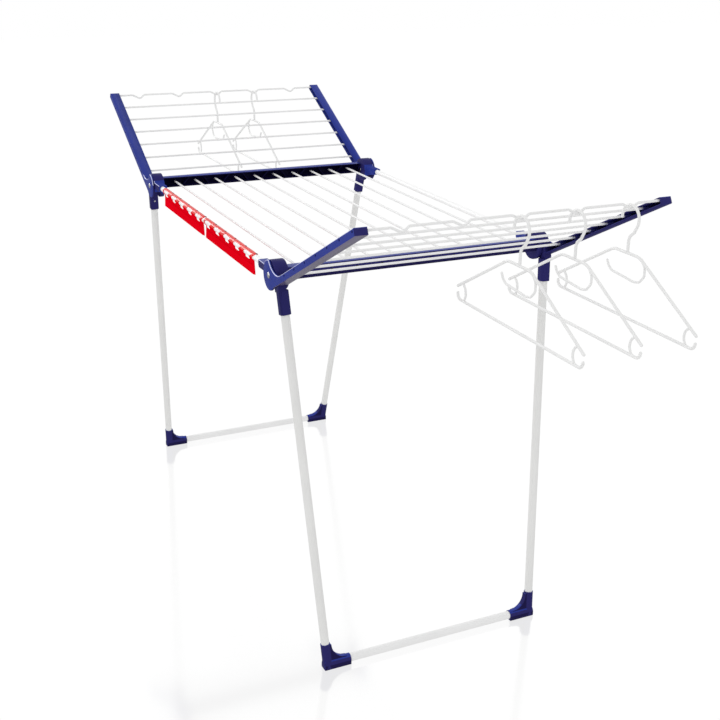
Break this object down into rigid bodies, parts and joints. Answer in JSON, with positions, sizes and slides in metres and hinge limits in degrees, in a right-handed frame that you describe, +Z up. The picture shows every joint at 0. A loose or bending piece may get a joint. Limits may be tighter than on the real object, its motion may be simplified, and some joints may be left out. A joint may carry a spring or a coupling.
{
  "type": "folding clothes drying rack",
  "caption": "Folding clothes drying rack with a deck of rods, two raised wings, two tapered leg frames, small-item holders on one side and coat hangers on the wings.",
  "frame": {"origin": "on the floor, below the centre of the rack", "axes": "+X runs along the rods of the deck towards the front end, whose wing carries hangers 1 to 3; +Y is the right-hand side, away from the small-item holders; +Z is up"},
  "size_m": [2.0918, 0.6516, 1.0394],
  "materials": {
    "navy_plastic": "satin dark blue moulding",
    "coated_tube": "glossy white coating on steel tube",
    "coated_rod": "glossy white coating on steel rod",
    "red_plastic": "glossy red moulding, thin and slightly see-through over the tube",
    "steel": "bright rivets and screws",
    "white_plastic": "satin white moulding"
  },
  "bodies": {
    "base": {"front_end_bar": "navy_plastic", "rear_end_bar": "navy_plastic", "left_side_tube": "coated_tube", "right_side_tube": "coated_tube", "deck_rod_1": "coated_rod", "deck_rod_2": "coated_rod", "deck_rod_3": "coated_rod", "deck_rod_4": "coated_rod", "deck_rod_5": "coated_rod", "deck_rod_6": "coated_rod", "deck_rod_7": "coated_rod", "deck_rod_8": "coated_rod", "deck_rod_9": "coated_rod", "deck_rod_10": "coated_rod", "corner_housing_front_left": "navy_plastic", "corner_housing_front_right": "navy_plastic", "corner_housing_rear_left": "navy_plastic", "corner_housing_rear_right": "navy_plastic", "small_item_holder_rear": "red_plastic", "small_item_holder_front": "red_plastic", "hinge_pins": "steel"},
    "front_wing": {"wing_arm_front_left": "navy_plastic", "wing_arm_front_right": "navy_plastic", "front_wing_rod_1": "coated_rod", "front_wing_rod_2": "coated_rod", "front_wing_rod_3": "coated_rod", "front_wing_rod_4": "coated_rod", "front_wing_rod_5": "coated_rod", "front_wing_rod_6": "coated_rod", "front_wing_rod_7": "coated_rod"},
    "rear_wing": {"wing_arm_rear_left": "navy_plastic", "wing_arm_rear_right": "navy_plastic", "rear_wing_rod_1": "coated_rod", "rear_wing_rod_2": "coated_rod", "rear_wing_rod_3": "coated_rod", "rear_wing_rod_4": "coated_rod", "rear_wing_rod_5": "coated_rod", "rear_wing_rod_6": "coated_rod", "rear_wing_rod_7": "coated_rod"},
    "front_legs": {"leg_connector_front_left": "navy_plastic", "leg_connector_front_right": "navy_plastic", "leg_tube_front_left": "coated_tube", "leg_tube_front_right": "coated_tube", "foot_front_left": "navy_plastic", "foot_front_right": "navy_plastic", "front_foot_crossbar": "coated_tube", "front_leg_screws": "steel"},
    "rear_legs": {"leg_connector_rear_left": "navy_plastic", "leg_connector_rear_right": "navy_plastic", "leg_tube_rear_left": "coated_tube", "leg_tube_rear_right": "coated_tube", "foot_rear_left": "navy_plastic", "foot_rear_right": "navy_plastic", "rear_foot_crossbar": "coated_tube", "rear_leg_screws": "steel"},
    "front_hanger_1": {"front_hanger_1": "white_plastic"},
    "front_hanger_2": {"front_hanger_2": "white_plastic"},
    "front_hanger_3": {"front_hanger_3": "white_plastic"},
    "rear_hanger_1": {"rear_hanger_1": "white_plastic"},
    "rear_hanger_2": {"rear_hanger_2": "white_plastic"}
  },
  "joints": [
    {"name": "front_wing_fold", "type": "hinge", "parent": "base", "child": "front_wing", "pos_m": [0.4444, 0, 0.85], "axis": [0, -1, 0], "range_deg": [0, 151]},
    {"name": "rear_wing_fold", "type": "hinge", "parent": "base", "child": "rear_wing", "pos_m": [-0.4444, 0, 0.85], "axis": [0, 1, 0], "range_deg": [0, 151]},
    {"name": "front_legs_fold", "type": "hinge", "parent": "base", "child": "front_legs", "pos_m": [0.4444, 0, 0.85], "axis": [0, 1, 0], "range_deg": [0, 97.5]},
    {"name": "rear_legs_fold", "type": "hinge", "parent": "base", "child": "rear_legs", "pos_m": [-0.4444, 0, 0.85], "axis": [0, -1, 0], "range_deg": [0, 97]},
    {"name": "front_hanger_1_swing", "type": "hinge", "parent": "front_wing", "child": "front_hanger_1", "pos_m": [0.83503, 0.0034, 1.02293], "axis": [0, 1, 0], "range_deg": [-10, 12]},
    {"name": "front_hanger_2_swing", "type": "hinge", "parent": "front_wing", "child": "front_hanger_2", "pos_m": [0.83503, 0.1209, 1.02293], "axis": [0, 1, 0], "range_deg": [-10, 12]},
    {"name": "front_hanger_3_swing", "type": "hinge", "parent": "front_wing", "child": "front_hanger_3", "pos_m": [0.83503, 0.2384, 1.02293], "axis": [0, 1, 0], "range_deg": [-10, 12]},
    {"name": "rear_hanger_1_swing", "type": "hinge", "parent": "rear_wing", "child": "rear_hanger_1", "pos_m": [-0.83503, -0.0034, 1.02293], "axis": [0, -1, 0], "range_deg": [-10, 12]},
    {"name": "rear_hanger_2_swing", "type": "hinge", "parent": "rear_wing", "child": "rear_hanger_2", "pos_m": [-0.83503, 0.1141, 1.02293], "axis": [0, -1, 0], "range_deg": [-10, 12]}
  ]
}
